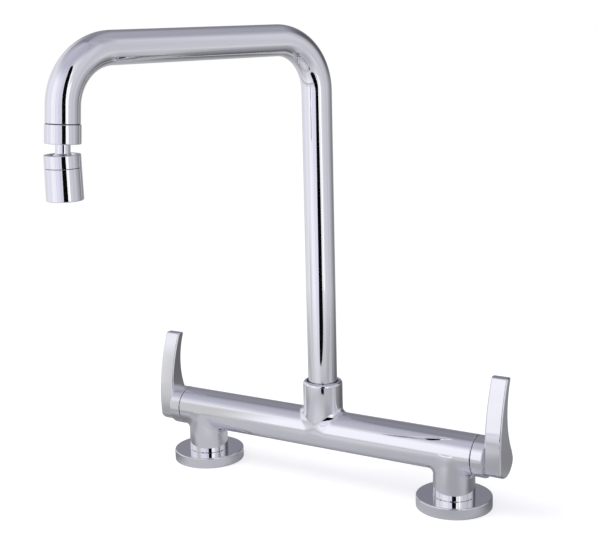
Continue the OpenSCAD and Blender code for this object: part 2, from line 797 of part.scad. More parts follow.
bridge_body();
flange(-1);  // left_flange
flange(1);  // right_flange
base_gasket(-1);  // left_base_gasket
base_gasket(1);  // right_base_gasket
shank(-1);  // left_shank
shank(1);  // right_shank
rubber_washer(-1);  // left_rubber_washer
rubber_washer(1);  // right_rubber_washer
steel_washer(-1);  // left_steel_washer
steel_washer(1);  // right_steel_washer
lock_nut(-1);  // left_lock_nut
lock_nut(1);  // right_lock_nut
valve_body(-1);  // left_valve_body
valve_body(1);  // right_valve_body
valve_oring(-1);  // left_valve_oring
valve_oring(1);  // right_valve_oring
seat_seal(-1);  // left_seat_seal
seat_seal(1);  // right_seat_seal
fixed_disc(-1);  // left_fixed_disc
fixed_disc(1);  // right_fixed_disc
moving_disc(-1);  // left_moving_disc
moving_disc(1);  // right_moving_disc
spindle(-1);  // left_spindle
spindle(1);  // right_spindle
spindle_oring(-1);  // left_spindle_oring
spindle_oring(1);  // right_spindle_oring
handle(-1);  // left_handle
handle(1);  // right_handle
grub_screw(-1);  // left_grub_screw
grub_screw(1);  // right_grub_screw
spout_tube();
spout_ferrule();
spout_bush();
bush_orings();
retaining_ring();
slip_ring();
spout_collar();
collar_gasket();
stem_seal();
ball_stem();
ball_ring();
ball_seal();
aerator_shell();
flow_regulator();
strainer();
aerator_insert();
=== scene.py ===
import json
import math

import bpy
import numpy as np
from mathutils import Matrix, Vector


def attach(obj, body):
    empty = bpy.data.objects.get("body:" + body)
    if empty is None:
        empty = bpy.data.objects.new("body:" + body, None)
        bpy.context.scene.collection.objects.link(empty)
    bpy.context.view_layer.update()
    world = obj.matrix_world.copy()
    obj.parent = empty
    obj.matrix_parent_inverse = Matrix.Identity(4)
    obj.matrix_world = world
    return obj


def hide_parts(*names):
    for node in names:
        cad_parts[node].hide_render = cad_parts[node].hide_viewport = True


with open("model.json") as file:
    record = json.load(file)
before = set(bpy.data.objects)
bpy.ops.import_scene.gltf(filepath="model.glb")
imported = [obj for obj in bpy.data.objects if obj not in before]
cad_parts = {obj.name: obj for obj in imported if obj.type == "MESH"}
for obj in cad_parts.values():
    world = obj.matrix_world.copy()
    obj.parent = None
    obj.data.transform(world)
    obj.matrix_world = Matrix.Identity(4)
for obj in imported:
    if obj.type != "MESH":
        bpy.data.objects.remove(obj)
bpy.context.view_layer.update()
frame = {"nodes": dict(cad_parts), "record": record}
NODES = frame["nodes"]
MM = 0.001

# Sizes of the part in millimetres, as in its source
INLET_X, AXIS_Z, BRIDGE_R, BRIDGE_HALF = 100.0, 38.2, 13.9, 116.6
FLANGE_R, FLANGE_H, FLANGE_WALL, FLANGE_ROUND = 25.7, 7.8, 2.4, 0.8
GASKET_R, GASKET_THICK = 23.55, 1.2
LEG_BASE_R, LEG_TOP_R, SPIGOT_R = 14.3, 13.8, 12.4
WATERWAY_R, SHANK_BORE_R = 6.5, 7.5
THREAD_R, THREAD_GAP, THREAD_PITCH, THREAD_DEPTH = 10.4775, 0.05, 1.814, 1.1
SEAT_U = 84.0
SHANK_DROP, SHANK_TOP, HOSE_THREAD, RUNOUT = 55.0, 16.0, 16.5, 1.5
DECK, RUBBER_R, RUBBER_THICK, STEEL_R, STEEL_THICK = 20.0, 20.0, 3.0, 19.0, 2.0
NUT_FLATS, NUT_THICK = 30.0, 8.0
WASHER_BORE_R = THREAD_R + 0.5
SOCKET_R, SOCKET_TOP, SOCKET_ROUND = 13.8, 74.0, 2.2
BUSH_BORE_R, BUSH_BOTTOM = 11.25, 48.3
RETAINING_LOW, RETAINING_HIGH, RETAINING_R = 58.2, 60.7, 12.0
RING_U, RING_END, RING_BORE_R, RING_FLOOR = 117.0, 125.0, 12.0, 122.5
LEVER_THICK, LEVER_RISE, LEVER_BEVEL = 11.6, 54.5, 0.8
LEVER_FOOT_R, LEVER_FOOT_BACK = 12.7, 1.1
LEVER_FRONT_R, LEVER_FRONT, LEVER_FRONT_RISE = 115.0, 9.8, 5.0
LEVER_BACK_R, LEVER_BACK, LEVER_BACK_RISE = 52.0, 2.4, 32.0
SQUARE, SQUARE_END, GRUB_U, GRUB_R = 5.7, 131.3, 127.9, 2.05
TUBE_R, TUBE_BORE_R, FERRULE_BORE_R = 10.1, 9.1, 8.5
ARM_Z, REACH, BEND_R, DROP_TILT, SPOUT_ANGLE, DROP_LEN = 309.0, 190.7, 34.0, 4.2, -107.8, 41.1
TUBE_BOTTOM = 62.2
COLLAR_START, COLLAR_END, COLLAR_R, COLLAR_BORE_R, COLLAR_FLOOR = 41.5, 52.5, 10.5, 6.253, 3.0
SPIGOT_START, COLLAR_SPIGOT_R, NECK_HOLE_R = 34.85, 8.45, 4.893
HEAD_START, HEAD_THICK, HEAD_R, NECK_R, STEM_BORE_R = 45.9, 2.6, 5.953, 4.343, 2.6
BALL_AT, BALL_R, BALL_FLAT = 63.8, 7.2013, 5.185
BALL_SEAT_R, BALL_MOUTH_R, RIM_MOUTH_R = 7.2513, 6.481, 7.481
BALL_RING_R, BALL_RING_UP, BALL_RING_DOWN, RING_SPIGOT_R, RING_SPIGOT_END = 10.6, 5.3, 2.1, 9.25, 7.1
SHELL_START, SHELL_END, SHELL_R, SHELL_BORE_R, SHELL_LIP, SHELL_ROUND = 2.4, 21.0, 10.8, 9.3, 1.2, 0.7

# Soft edges of the shown pieces, in millimetres
CASTING_BLEND, LEG_BLEND, SOCKET_BLEND = 2.6, 0.8, 1.2
CASTING_END_ROUND, LEG_FOOT_ROUND, CASTING_HOLE_ROUND = 0.5, 0.25, 0.35
RING_ROUND, BACK_ROUND_LOW, BACK_ROUND_HIGH, FRONT_ROUND = 0.35, 4.5, 1.6, 0.8
BEVEL_ROUND, LEVER_INNER_ROUND, LEVER_OUTER_ROUND, LEVER_HOLE_ROUND = 0.3, 0.4, 1.1, 0.3
RUNOUT_DEPTH, PIPE_CHAMFER, TUBE_END_ROUND = 1.15, 0.4, 0.35
THREAD_SLOPE, THREAD_FLAT, THREAD_FADE, THREAD_CHAMFER, THREAD_SHARP = 2.4, 0.2, 1.2, 1.0, 40
NUT_FACE_SHARE, NUT_CONE, NUT_SINK, NUT_SHARP = 0.965, 30, 0.8, 15

# Flat sides of a turned piece, and of the finer or coarser ones
AROUND, AROUND_FLANGE, AROUND_NUT, AROUND_SHANK = 128, 160, 144, 96
# Degrees of one step of a rounding, and the bend up to which a turned face is smooth
ROUND_STEP, SMOOTH_FROM = 15, 20

# Grids for the distance fields: low corner, high corner and cell
BRIDGE_GRID = (-118, -15.5, 0.2), (118, 15.5, 75.5), 0.8
HANDLE_GRID = (116.2, -14.8, 23.5), (137.6, 14.8, 94.2), 0.45
# Layers of a grid taken at a time, and how often its points are drawn to the surface
SLAB, PULLS = 16, 4

# Steps along the spout's riser, each bend, its arm, its drop and its rounded end
RISER_STEPS, BEND_STEPS, ARM_STEPS, DROP_STEPS, END_STEPS = 24, 36, 16, 5, 4
# Steps of the ball, of its seat and of one pitch of a thread
BALL_STEPS, SEAT_STEPS, PITCH_STEPS = 40, 24, 8


# Mesh building

def make_object(name, verts, quads, normals, material, body, nodes=()):
    """Vertices in millimetres in the row frame, quads, and one normal a corner, one a vertex or None."""
    mesh = bpy.data.meshes.new(name)
    mesh.vertices.add(len(verts))
    mesh.vertices.foreach_set("co", (np.asarray(verts, float) * MM).astype(np.float32).reshape(-1))
    mesh.loops.add(quads.size)
    mesh.loops.foreach_set("vertex_index", quads.reshape(-1).astype(np.int32))
    mesh.polygons.add(len(quads))
    mesh.polygons.foreach_set("loop_start", np.arange(0, quads.size, 4, dtype=np.int32))
    mesh.polygons.foreach_set("use_smooth", np.ones(len(quads), bool))
    mesh.update(calc_edges=True)
    mesh.validate()
    if normals is not None:
        one_a_corner = len(normals) == quads.size
        normals = np.asarray(normals, float).tolist()
        if one_a_corner:
            mesh.normals_split_custom_set(normals)
        else:
            mesh.normals_split_custom_set_from_vertices(normals)
    obj = bpy.data.objects.new(name, mesh)
    bpy.context.scene.collection.objects.link(obj)
    mesh.materials.append(material)
    if nodes:
        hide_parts(*nodes)
    if body:
        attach(obj, body)
    return obj


def frame_matrix(*steps):
    made = Matrix.Identity(4)
    for step in steps:
        made = made @ step
    return np.array(made)


def move(x, y, z):
    return Matrix.Translation((x, y, z))


def turn(degrees, axis):
    return Matrix.Rotation(math.radians(degrees), 4, axis)


def place(matrix, points):
    return points @ matrix[:3, :3].T + matrix[:3, 3]


def circle(around):
    return np.arange(around) * 2 * math.pi / around


def ring_points(rows, around):
    """Rings of points round z, from rows of (height, radius), each one number or one for every point."""
    angles = circle(around)
    one = np.ones(around)
    return np.concatenate([np.stack([r * np.cos(angles), r * np.sin(angles), z * one], 1) for z, r in rows])


def ring_faces(count, around):
    """Quads between neighbouring rings of points, and from the last ring back to the first."""
    j = np.arange(around)
    k = (j + 1) % around
    return np.concatenate([np.stack([i * around + j, i * around + k, (i + 1) % count * around + k,
                                     (i + 1) % count * around + j], 1) for i in range(count)])


def rounded_profile(corners):
    """Corners (r, z, rounding) anticlockwise as points with the normals of each segment's two ends."""
    count = len(corners)
    points, ends = [], []
    pts = [np.array(c[:2], float) for c in corners]
    for i in range(count):
        a, b, c = pts[i - 1], pts[i], pts[(i + 1) % count]
        d1, d2 = (b - a) / np.linalg.norm(b - a), (c - b) / np.linalg.norm(c - b)
        n1, n2 = np.array([d1[1], -d1[0]]), np.array([d2[1], -d2[0]])
        size = corners[i][2]
        bend = math.atan2(d1[0] * d2[1] - d1[1] * d2[0], d1 @ d2)
        if size <= 0 or abs(bend) < 1e-6:
            points.append(b)
            ends.append([n1, n2])
            continue
        tangent = size * math.tan(abs(bend) / 2)
        centre = b - d1 * tangent - n1 * size * math.copysign(1, bend)
        steps = max(3, int(math.ceil(abs(bend) / math.radians(ROUND_STEP))))
        for k in range(steps + 1):
            angle = bend * k / steps
            n = np.array([n1[0] * math.cos(angle) - n1[1] * math.sin(angle),
                          n1[0] * math.sin(angle) + n1[1] * math.cos(angle)])
            points.append(centre + n * size * math.copysign(1, bend))
            ends.append([n, n])
    return np.array(points), ends


def arc_corners(centre_z, radius, start, stop, steps):
    """Points of a ball's outline about the axis, from one polar angle to another, with no rounding."""
    return [(radius * math.sin(math.radians(start + (stop - start) * k / steps)),
             centre_z + radius * math.cos(math.radians(start + (stop - start) * k / steps)), 0)
            for k in range(steps + 1)]


def lathe(name, corners, matrix, material, body, nodes, around=AROUND):
    """A body turned about local z. Segments that meet at less than SMOOTH_FROM degrees share a normal."""
    if np.linalg.det(matrix[:3, :3]) < 0:
        raise ValueError("a turned body needs a plain rotation")
    points, ends = rounded_profile(corners)
    count = len(points)
    for i in range(count):
        n1, n2 = ends[i]
        if n1 @ n2 > math.cos(math.radians(SMOOTH_FROM)):
            shared = (n1 + n2) / np.linalg.norm(n1 + n2)
            ends[i] = [shared, shared]
    angles = circle(around)
    ring = np.stack([np.cos(angles), np.sin(angles)], 1)
    normals = []
    j = np.arange(around)
    k = (j + 1) % around
    for i in range(count):
        first, last = ends[i][1], ends[(i + 1) % count][0]
        corner = np.zeros((around, 4, 3))
        for spot, (index, normal) in enumerate([(j, first), (k, first), (k, last), (j, last)]):
            corner[:, spot, :2] = ring[index] * normal[0]
            corner[:, spot, 2] = normal[1]
        normals.append(corner.reshape(-1, 3))
    normals = np.concatenate(normals) @ matrix[:3, :3].T
    verts = place(matrix, ring_points(points[:, ::-1], around))
    return make_object(name, verts, ring_faces(count, around), normals, material, body, nodes)


def mirrored(obj, name, material, body, nodes):
    """The same piece on the other side of x = 0."""
    mesh = obj.data
    count, corners = len(mesh.vertices), len(mesh.loops)
    co = np.zeros(count * 3)
    mesh.vertices.foreach_get("co", co)
    co = co.reshape(-1, 3) / MM * [-1, 1, 1]
    index = np.zeros(corners, np.int64)
    mesh.loops.foreach_get("vertex_index", index)
    normals = np.zeros(corners * 3)
    mesh.corner_normals.foreach_get("vector", normals)
    index = index.reshape(-1, 4)[:, ::-1]
    normals = (normals.reshape(-1, 3) * [-1, 1, 1]).reshape(-1, 4, 3)[:, ::-1].reshape(-1, 3)
    return make_object(name, co, index, normals, material, body, nodes)


# Distance fields, in millimetres

def length(*parts):
    return np.sqrt(sum(p * p for p in parts))


def round_max(a, b, size):
    return np.minimum(np.maximum(a, b), -size) + length(np.maximum(a + size, 0), np.maximum(b + size, 0))


def round_min(a, b, size):
    return np.maximum(np.minimum(a, b), size) - length(np.minimum(a - size, 0), np.minimum(b - size, 0))


def blend_size(y, first_rho, second_rho, least):
    """Of two tubes about crossing axes: wide where their walls meet square, least where they touch flat."""
    same = np.clip(y * y / np.maximum(first_rho * second_rho, 1e-6), 0, 1)
    return CASTING_BLEND * np.sqrt(1 - same) + least


def bridge_field(p):
    x, y, z = p[..., 0], p[..., 1], p[..., 2]
    side = np.abs(x)
    h = z - AXIS_Z
    rho = length(y, h)
    tube = round_max(rho - BRIDGE_R, side - BRIDGE_HALF, CASTING_END_ROUND)
    lx = side - INLET_X
    leg_rho = length(lx, y)
    slope = (LEG_BASE_R - LEG_TOP_R) / (AXIS_Z - FLANGE_H)
    leg = (leg_rho - (LEG_BASE_R - slope * (z - FLANGE_H))) / math.sqrt(1 + slope * slope)
    leg = np.maximum(round_max(leg, FLANGE_H - z, LEG_FOOT_ROUND), z - AXIS_Z)
    solid = round_min(tube, leg, blend_size(y, rho, leg_rho, LEG_BLEND))
    sock_rho = length(x, y)
    socket = np.maximum(round_max(sock_rho - SOCKET_R, z - SOCKET_TOP, SOCKET_ROUND), AXIS_Z - z)
    solid = round_min(solid, socket, blend_size(y, rho, sock_rho, SOCKET_BLEND))
    spigot = np.maximum(leg_rho - SPIGOT_R, np.maximum(GASKET_THICK - z, z - AXIS_Z))
    solid = np.minimum(solid, spigot)
    hollow = np.minimum(rho - WATERWAY_R, np.maximum(rho - THREAD_R, SEAT_U - side))
    hollow = np.minimum(hollow, np.maximum(leg_rho - SHANK_BORE_R, z - AXIS_Z))
    hollow = np.minimum(hollow, np.maximum(leg_rho - THREAD_R - THREAD_GAP, z - SHANK_TOP))
    hollow = np.minimum(hollow, np.maximum(sock_rho - WATERWAY_R, AXIS_Z - z))
    hollow = np.minimum(hollow, np.maximum(sock_rho - BUSH_BORE_R, BUSH_BOTTOM - z))
    groove = np.maximum(sock_rho - RETAINING_R, np.maximum(RETAINING_LOW - z, z - RETAINING_HIGH))
    hollow = np.minimum(hollow, groove)
    return round_max(solid, -hollow, CASTING_HOLE_ROUND)


def lever_field(p):
    """The handle with x outward along the bridge from its middle, y back and z up."""
    u, a, b = p[..., 0], p[..., 1], p[..., 2] - AXIS_Z
    rho = length(a, b)
    ring = round_max(rho - BRIDGE_R, np.maximum(RING_U - u, u - RING_END), RING_ROUND)
    front = length(a - (LEVER_FRONT_R - LEVER_FRONT), b - LEVER_FRONT_RISE) - LEVER_FRONT_R
    back_of = a - LEVER_FOOT_BACK
    foot = np.where(b < 0, length(back_of, b), np.abs(back_of)) - LEVER_FOOT_R
    foot = np.maximum(foot, b - LEVER_RISE)
    back = LEVER_BACK_R - length(a - LEVER_BACK - LEVER_BACK_R, b - LEVER_BACK_RISE)
    outline = round_max(foot, back, np.where(b < LEVER_BACK_RISE, BACK_ROUND_LOW, BACK_ROUND_HIGH))
    outline = round_max(outline, front, FRONT_ROUND)
    bevel = (front + LEVER_BEVEL - (u - RING_END)) / math.sqrt(2)
    lever = round_max(outline, bevel, BEVEL_ROUND)
    lever = round_max(lever, RING_END - u, LEVER_INNER_ROUND)
    lever = round_max(lever, u - RING_END - LEVER_THICK, LEVER_OUTER_ROUND)
    solid = np.minimum(ring, lever)
    hollow = np.maximum(rho - RING_BORE_R, u - RING_FLOOR)
    square = np.maximum(np.maximum(np.abs(a), np.abs(b)) - SQUARE / 2, u - SQUARE_END)
    grub = np.maximum(length(u - GRUB_U, a) - GRUB_R, b)
    hollow = np.minimum(hollow, np.minimum(square, grub))
    return round_max(solid, -hollow, LEVER_HOLE_ROUND)


def gradient(field, p, step=0.02):
    out = np.zeros_like(p)
    for axis in range(3):
        shift = np.zeros(3)
        shift[axis] = step
        out[:, axis] = field(p + shift) - field(p - shift)
    size = np.linalg.norm(out, axis=1, keepdims=True)
    return out / np.maximum(size, 1e-9), size[:, 0] / (2 * step)


def surface(field, low, high, cell):
    """Vertices, four-sided faces and normals of the surface where field is zero, on a grid of cells."""
    low, high = np.array(low, float), np.array(high, float)
    counts = np.ceil((high - low) / cell).astype(int) + 1
    axes = [low[i] + np.arange(counts[i]) * cell for i in range(3)]
    value = np.empty(counts, np.float32)
    for i in range(0, counts[0], SLAB):
        part = np.stack(np.meshgrid(axes[0][i:i + SLAB], axes[1], axes[2], indexing="ij"), -1)
        value[i:i + SLAB] = field(part)
    inside = value < 0
    cells = tuple(c - 1 for c in counts)
    total = np.zeros(cells + (3,), np.float32)
    number = np.zeros(cells, np.int16)
    crossings = []
    for axis in range(3):
        a = [slice(None)] * 3
        b = [slice(None)] * 3
        a[axis], b[axis] = slice(0, -1), slice(1, None)
        cross = inside[tuple(a)] != inside[tuple(b)]
        where = np.argwhere(cross)
        va, vb = value[tuple(a)][cross], value[tuple(b)][cross]
        share = va / (va - vb)
        point = where.astype(np.float32)
        point[:, axis] += share
        crossings.append((where, inside[tuple(a)][cross]))
        others = [o for o in range(3) if o != axis]
        for s in (0, -1):
            for t in (0, -1):
                cell_index = where.copy()
                cell_index[:, others[0]] += s
                cell_index[:, others[1]] += t
                ok = np.all((cell_index >= 0) & (cell_index < np.array(cells)), axis=1)
                flat = np.ravel_multi_index(cell_index[ok].T, cells)
                np.add.at(number.reshape(-1), flat, 1)
                for d in range(3):
                    np.add.at(total.reshape(-1, 3)[:, d], flat, point[ok, d])
    used = number > 0
    index = np.full(cells, -1, np.int64)
    index[used] = np.arange(used.sum())
    verts = low + total[used] / number[used][:, None] * cell
    faces = []
    for axis in range(3):
        where, solid_first = crossings[axis]
        o1, o2 = (axis + 1) % 3, (axis + 2) % 3
        corner = []
        ok = np.ones(len(where), bool)
        for s, t in ((0, 0), (-1, 0), (-1, -1), (0, -1)):
            c = where.copy()
            c[:, o1] += s
            c[:, o2] += t
            ok &= np.all((c >= 0) & (c < np.array(cells)), axis=1)
            corner.append(c)
        quad = np.stack([index[tuple(np.clip(c, 0, np.array(cells) - 1).T)] for c in corner], 1)
        quad = np.where(solid_first[:, None], quad, quad[:, ::-1])
        faces.append(quad[ok])
    faces = np.concatenate(faces)
    for _ in range(PULLS):
        normal, slope = gradient(field, verts)
        off = field(verts) / np.maximum(slope, 0.5)
        verts = verts - normal * np.clip(off, -cell / 2, cell / 2)[:, None]
    normal, _ = gradient(field, verts, 0.04)
    return verts, faces, normal


# Materials

def new_material(name):
    made = bpy.data.materials.new(name)
    made.use_nodes = True
    tree = made.node_tree
    tree.nodes.clear()
    out = tree.nodes.new("ShaderNodeOutputMaterial")
    shader = tree.nodes.new("ShaderNodeBsdfPrincipled")
    tree.links.new(shader.outputs[0], out.inputs[0])
    return made, tree, shader


def noise(tree, coords, scale, detail=3.0, stretch=None):
    mapping = tree.nodes.new("ShaderNodeMapping")
    tree.links.new(coords, mapping.inputs["Vector"])
    if stretch:
        mapping.inputs["Scale"].default_value = stretch
    made = tree.nodes.new("ShaderNodeTexNoise")
    made.inputs["Scale"].default_value = scale
    made.inputs["Detail"].default_value = detail
    tree.links.new(mapping.outputs[0], made.inputs["Vector"])
    return made.outputs["Fac"]


def ranged(tree, value, low, high, start=0.3, stop=0.7, kind="LINEAR"):
    made = tree.nodes.new("ShaderNodeMapRange")
    made.interpolation_type = kind
    made.inputs["From Min"].default_value = start
    made.inputs["From Max"].default_value = stop
    made.inputs["To Min"].default_value = low
    made.inputs["To Max"].default_value = high
    tree.links.new(value, made.inputs["Value"])
    return made.outputs[0]


def eased(tree, value, start, stop):
    return ranged(tree, value, 0, 1, start, stop, "SMOOTHSTEP")


def bump(tree, shader, value, strength, distance):
    made = tree.nodes.new("ShaderNodeBump")
    made.inputs["Strength"].default_value = strength
    made.inputs["Distance"].default_value = distance
    tree.links.new(value, made.inputs["Height"])
    tree.links.new(made.outputs[0], shader.inputs["Normal"])


def mixed(tree, factor, first, second):
    """Two colours, or two nodes' outputs, blended by the factor."""
    made = tree.nodes.new("ShaderNodeMix")
    made.data_type = "RGBA"
    tree.links.new(factor, made.inputs["Factor"])
    for spot, colour in (("A", first), ("B", second)):
        if isinstance(colour, tuple):
            made.inputs[spot].default_value = (*colour, 1)
        else:
            tree.links.new(colour, made.inputs[spot])
    return made.outputs["Result"]


def object_coords(tree):
    return tree.nodes.new("ShaderNodeTexCoord").outputs["Object"]


# The strength of a metal's grain, and how far the roughness of a plain surface strays
METAL_BUMP, ROUGH_SPREAD = 0.25, 0.06


def metal(name, colour, second, low, high, scale, stretch, wave, depth):
    """Bare metal with two tints, a grain stretched along one axis and roughness from low to high."""
    made, tree, shader = new_material(name)
    coords = object_coords(tree)
    shader.inputs["Metallic"].default_value = 1.0
    mottle = noise(tree, coords, scale * 0.4, 4)
    tree.links.new(mixed(tree, ranged(tree, mottle, 0, 1), colour, second), shader.inputs["Base Color"])
    grain = noise(tree, coords, scale, 3, stretch)
    tree.links.new(ranged(tree, grain, low, high), shader.inputs["Roughness"])
    bump(tree, shader, noise(tree, coords, wave, 2, stretch), METAL_BUMP, depth)
    return made


def plain(name, colour, second, roughness, scale, strength, depth, coat=0.0):
    """Rubber, ceramic or plastic with two tints and a fine grain."""
    made, tree, shader = new_material(name)
    coords = object_coords(tree)
    mottle = noise(tree, coords, scale * 0.2, 4)
    tree.links.new(mixed(tree, ranged(tree, mottle, 0, 1), colour, second), shader.inputs["Base Color"])
    rough = ranged(tree, noise(tree, coords, scale * 0.5), roughness - ROUGH_SPREAD, roughness + ROUGH_SPREAD)
    tree.links.new(rough, shader.inputs["Roughness"])
    shader.inputs["Coat Weight"].default_value = coat
    bump(tree, shader, noise(tree, coords, scale, 4), strength, depth)
    return made


# The two tints of the chrome's film, and its roughness between and on the wiping marks
FILM_DARK, FILM_LIGHT, FILM_SCALE = (0.855, 0.857, 0.885), (0.872, 0.872, 0.892), 28
CLEAN_ROUGH, WIPED_ROUGH, WIPE_SCALE, WIPE_STRETCH = 0.022, 0.055, 60, (1.0, 1.0, 0.35)


def chrome_material(name, wave, strength, depth):
    """Polished plating with a thin film, fine wiping marks and slow waves left by the polishing."""
    made, tree, shader = new_material(name)
    coords = object_coords(tree)
    shader.inputs["Metallic"].default_value = 1.0
    film = ranged(tree, noise(tree, coords, FILM_SCALE), 0, 1)
    tree.links.new(mixed(tree, film, FILM_DARK, FILM_LIGHT), shader.inputs["Base Color"])
    wipes = ranged(tree, noise(tree, coords, WIPE_SCALE, 4, WIPE_STRETCH), CLEAN_ROUGH, WIPED_ROUGH)
    tree.links.new(wipes, shader.inputs["Roughness"])
    bump(tree, shader, noise(tree, coords, wave, 1), strength, depth)
    return made


CHROME = chrome_material("chrome", 22, 0.12, 0.0002)
CAST_CHROME = chrome_material("cast_chrome", 30, 0.4, 0.0003)
BRASS = metal("brass", (0.66, 0.5, 0.24), (0.76, 0.6, 0.32), 0.22, 0.4, 300, (1, 1, 6), 900, 0.00004)
# Near-black metal: painted shade for the gap between the ball ring's thread and the aerator sleeve
PAINTED_GAP_SHADE = metal("painted_gap_shade", (0.06, 0.055, 0.05), (0.11, 0.1, 0.09), 0.5, 0.7, 300, (1, 1, 6), 900,
                    0.00004)
STEEL = metal("steel", (0.52, 0.52, 0.53), (0.62, 0.62, 0.62), 0.25, 0.42, 400, (1, 6, 1), 1200, 0.00003)
RUBBER = plain("black_rubber", (0.016, 0.016, 0.017), (0.03, 0.03, 0.031), 0.62, 1500, 0.4, 0.00004)
CERAMIC = plain("ceramic", (0.84, 0.83, 0.8), (0.88, 0.87, 0.85), 0.14, 2500, 0.1, 0.00001, 0.2)
WHITE = plain("white_plastic", (0.8, 0.8, 0.79), (0.86, 0.86, 0.85), 0.4, 1800, 0.25, 0.00002)
BLACK = plain("black_plastic", (0.018, 0.018, 0.019), (0.032, 0.032, 0.033), 0.45, 1800, 0.25, 0.00002)
GREEN = plain("green_plastic", (0.09, 0.36, 0.2), (0.13, 0.44, 0.26), 0.42, 1800, 0.25, 0.00002)
BY_SLOT = {"chrome": CHROME, "brass": BRASS, "steel": STEEL, "black_rubber": RUBBER, "ceramic": CERAMIC,
           "white_plastic": WHITE, "black_plastic": BLACK, "green_plastic": GREEN}
SLOT_OF = {p["node"]: p["material_slot"] for p in frame["record"]["subparts"]}

for name, obj in NODES.items():
    obj.data.materials.clear()
    obj.data.materials.append(BY_SLOT[SLOT_OF[name]])

# The bridge and the handles

verts, quads, normals = surface(bridge_field, *BRIDGE_GRID)
make_object("bridge_casting", verts, quads, normals, CAST_CHROME, "faucet_body", ["bridge_body"])

verts, quads, normals = surface(lever_field, *HANDLE_GRID)
right = make_object("right_lever_handle", verts, quads, normals, CAST_CHROME, "right_lever",
                    ["right_handle"])
mirrored(right, "left_lever_handle", CAST_CHROME, "left_lever", ["left_handle"])

# Flanges, gaskets, washers, shanks and nuts

SIDES = (("left", -1), ("right", 1))


def ring_corners(outer, inner, low, high, size):
    return [(outer, low, size), (outer, high, size), (inner, high, size), (inner, low, size)]


def thread_radius(z, angle, low, high):
    """Radius of a V thread with flat crests, fading out at its two ends."""
    phase = (z / THREAD_PITCH - angle / (2 * math.pi)) % 1.0
    tooth = np.clip(np.abs(phase - 0.5) * THREAD_SLOPE - THREAD_FLAT, 0, 1)
    fade = np.clip((z - low) / THREAD_FADE, 0, 1) * np.clip((high - z) / THREAD_FADE, 0, 1)
    chamfer = np.minimum(np.minimum(z - low, high - z), THREAD_CHAMFER) - THREAD_CHAMFER
    return THREAD_R - THREAD_DEPTH * tooth * fade + np.minimum(chamfer, 0) * (1 - tooth * fade)


def shank_object(side_name, side):
    """A pipe with a helical thread, a groove above its hose thread and a chamfer at each end."""
    end = -SHANK_DROP
    groove_low, groove_high = end + HOSE_THREAD, end + HOSE_THREAD + RUNOUT
    angles = circle(AROUND_SHANK)

    def thread_rows(low, high):
        steps = int(math.ceil((high - low) / (THREAD_PITCH / PITCH_STEPS)))
        return [(z, thread_radius(z, angles, low, high)) for z in np.linspace(low, high, steps + 1)]

    rows = thread_rows(end, groove_low)
    rows += [(groove_low, THREAD_R - RUNOUT_DEPTH), (groove_high, THREAD_R - RUNOUT_DEPTH)]
    rows += thread_rows(groove_high, SHANK_TOP)
    rows += [(SHANK_TOP, SHANK_BORE_R + PIPE_CHAMFER), (SHANK_TOP - PIPE_CHAMFER, SHANK_BORE_R),
             (end + PIPE_CHAMFER, SHANK_BORE_R), (end, SHANK_BORE_R + PIPE_CHAMFER)]
    verts = ring_points(rows, AROUND_SHANK)
    verts[:, 0] += side * INLET_X
    obj = make_object(side_name + "_shank_threaded", verts, ring_faces(len(rows), AROUND_SHANK), None, BRASS,
                      "faucet_body", [side_name + "_shank"])
    obj.data.set_sharp_from_angle(angle=math.radians(THREAD_SHARP))


def nut_object(side_name, side):
    """A hexagon nut with both ends turned down to a cone, and a countersunk bore."""
    top = -DECK - RUBBER_THICK - STEEL_THICK
    bottom = top - NUT_THICK
    flat = NUT_FLATS / 2
    hexagon = flat / np.cos((circle(AROUND_NUT) % (math.pi / 3)) - math.pi / 6)
    face_r = flat * NUT_FACE_SHARE
    drop = (hexagon - face_r) * math.tan(math.radians(NUT_CONE))
    bore = THREAD_R + THREAD_GAP
    rows = [(bottom, face_r), (bottom + drop, hexagon), (top - drop, hexagon), (top, face_r),
            (top, bore + NUT_SINK), (top - NUT_SINK, bore), (bottom + NUT_SINK, bore),
            (bottom, bore + NUT_SINK)]
    verts = ring_points(rows, AROUND_NUT)
    verts[:, 0] += side * INLET_X
    obj = make_object(side_name + "_lock_nut_chamfered", verts, ring_faces(len(rows), AROUND_NUT), None,
                      BRASS, "faucet_body", [side_name + "_lock_nut"])
    obj.data.set_sharp_from_angle(angle=math.radians(NUT_SHARP))


for side_name, side in SIDES:
    at = frame_matrix(move(side * INLET_X, 0, 0))
    lathe(side_name + "_base_flange",
          [(GASKET_R, 0, 0.15), (FLANGE_R, 0, 0.3), (FLANGE_R, FLANGE_H, FLANGE_ROUND),
           (SPIGOT_R + THREAD_GAP, FLANGE_H, 0.15), (SPIGOT_R + THREAD_GAP, GASKET_THICK, 0.15),
           (SPIGOT_R + FLANGE_WALL, GASKET_THICK, 0), (SPIGOT_R + FLANGE_WALL, FLANGE_H - FLANGE_WALL, 0.4),
           (FLANGE_R - FLANGE_WALL, FLANGE_H - FLANGE_WALL, 0.4), (FLANGE_R - FLANGE_WALL, GASKET_THICK, 0.1),
           (GASKET_R, GASKET_THICK, 0)],
          at, CHROME, "faucet_body", [side_name + "_flange"], around=AROUND_FLANGE)
    lathe(side_name + "_gasket", ring_corners(GASKET_R - THREAD_GAP, WASHER_BORE_R, 0, GASKET_THICK, 0.2),
          at, RUBBER, "faucet_body", [side_name + "_base_gasket"])
    low = -DECK - RUBBER_THICK
    lathe(side_name + "_rubber_disc", ring_corners(RUBBER_R, WASHER_BORE_R, low, -DECK, 0.4),
          at, RUBBER, "faucet_body", [side_name + "_rubber_washer"])
    lathe(side_name + "_steel_disc", ring_corners(STEEL_R, WASHER_BORE_R, low - STEEL_THICK, low, 0.3),
          at, STEEL, "faucet_body", [side_name + "_steel_washer"])
    shank_object(side_name, side)
    nut_object(side_name, side)

# The spout

IN_PLANE = turn(SPOUT_ANGLE, "Z")


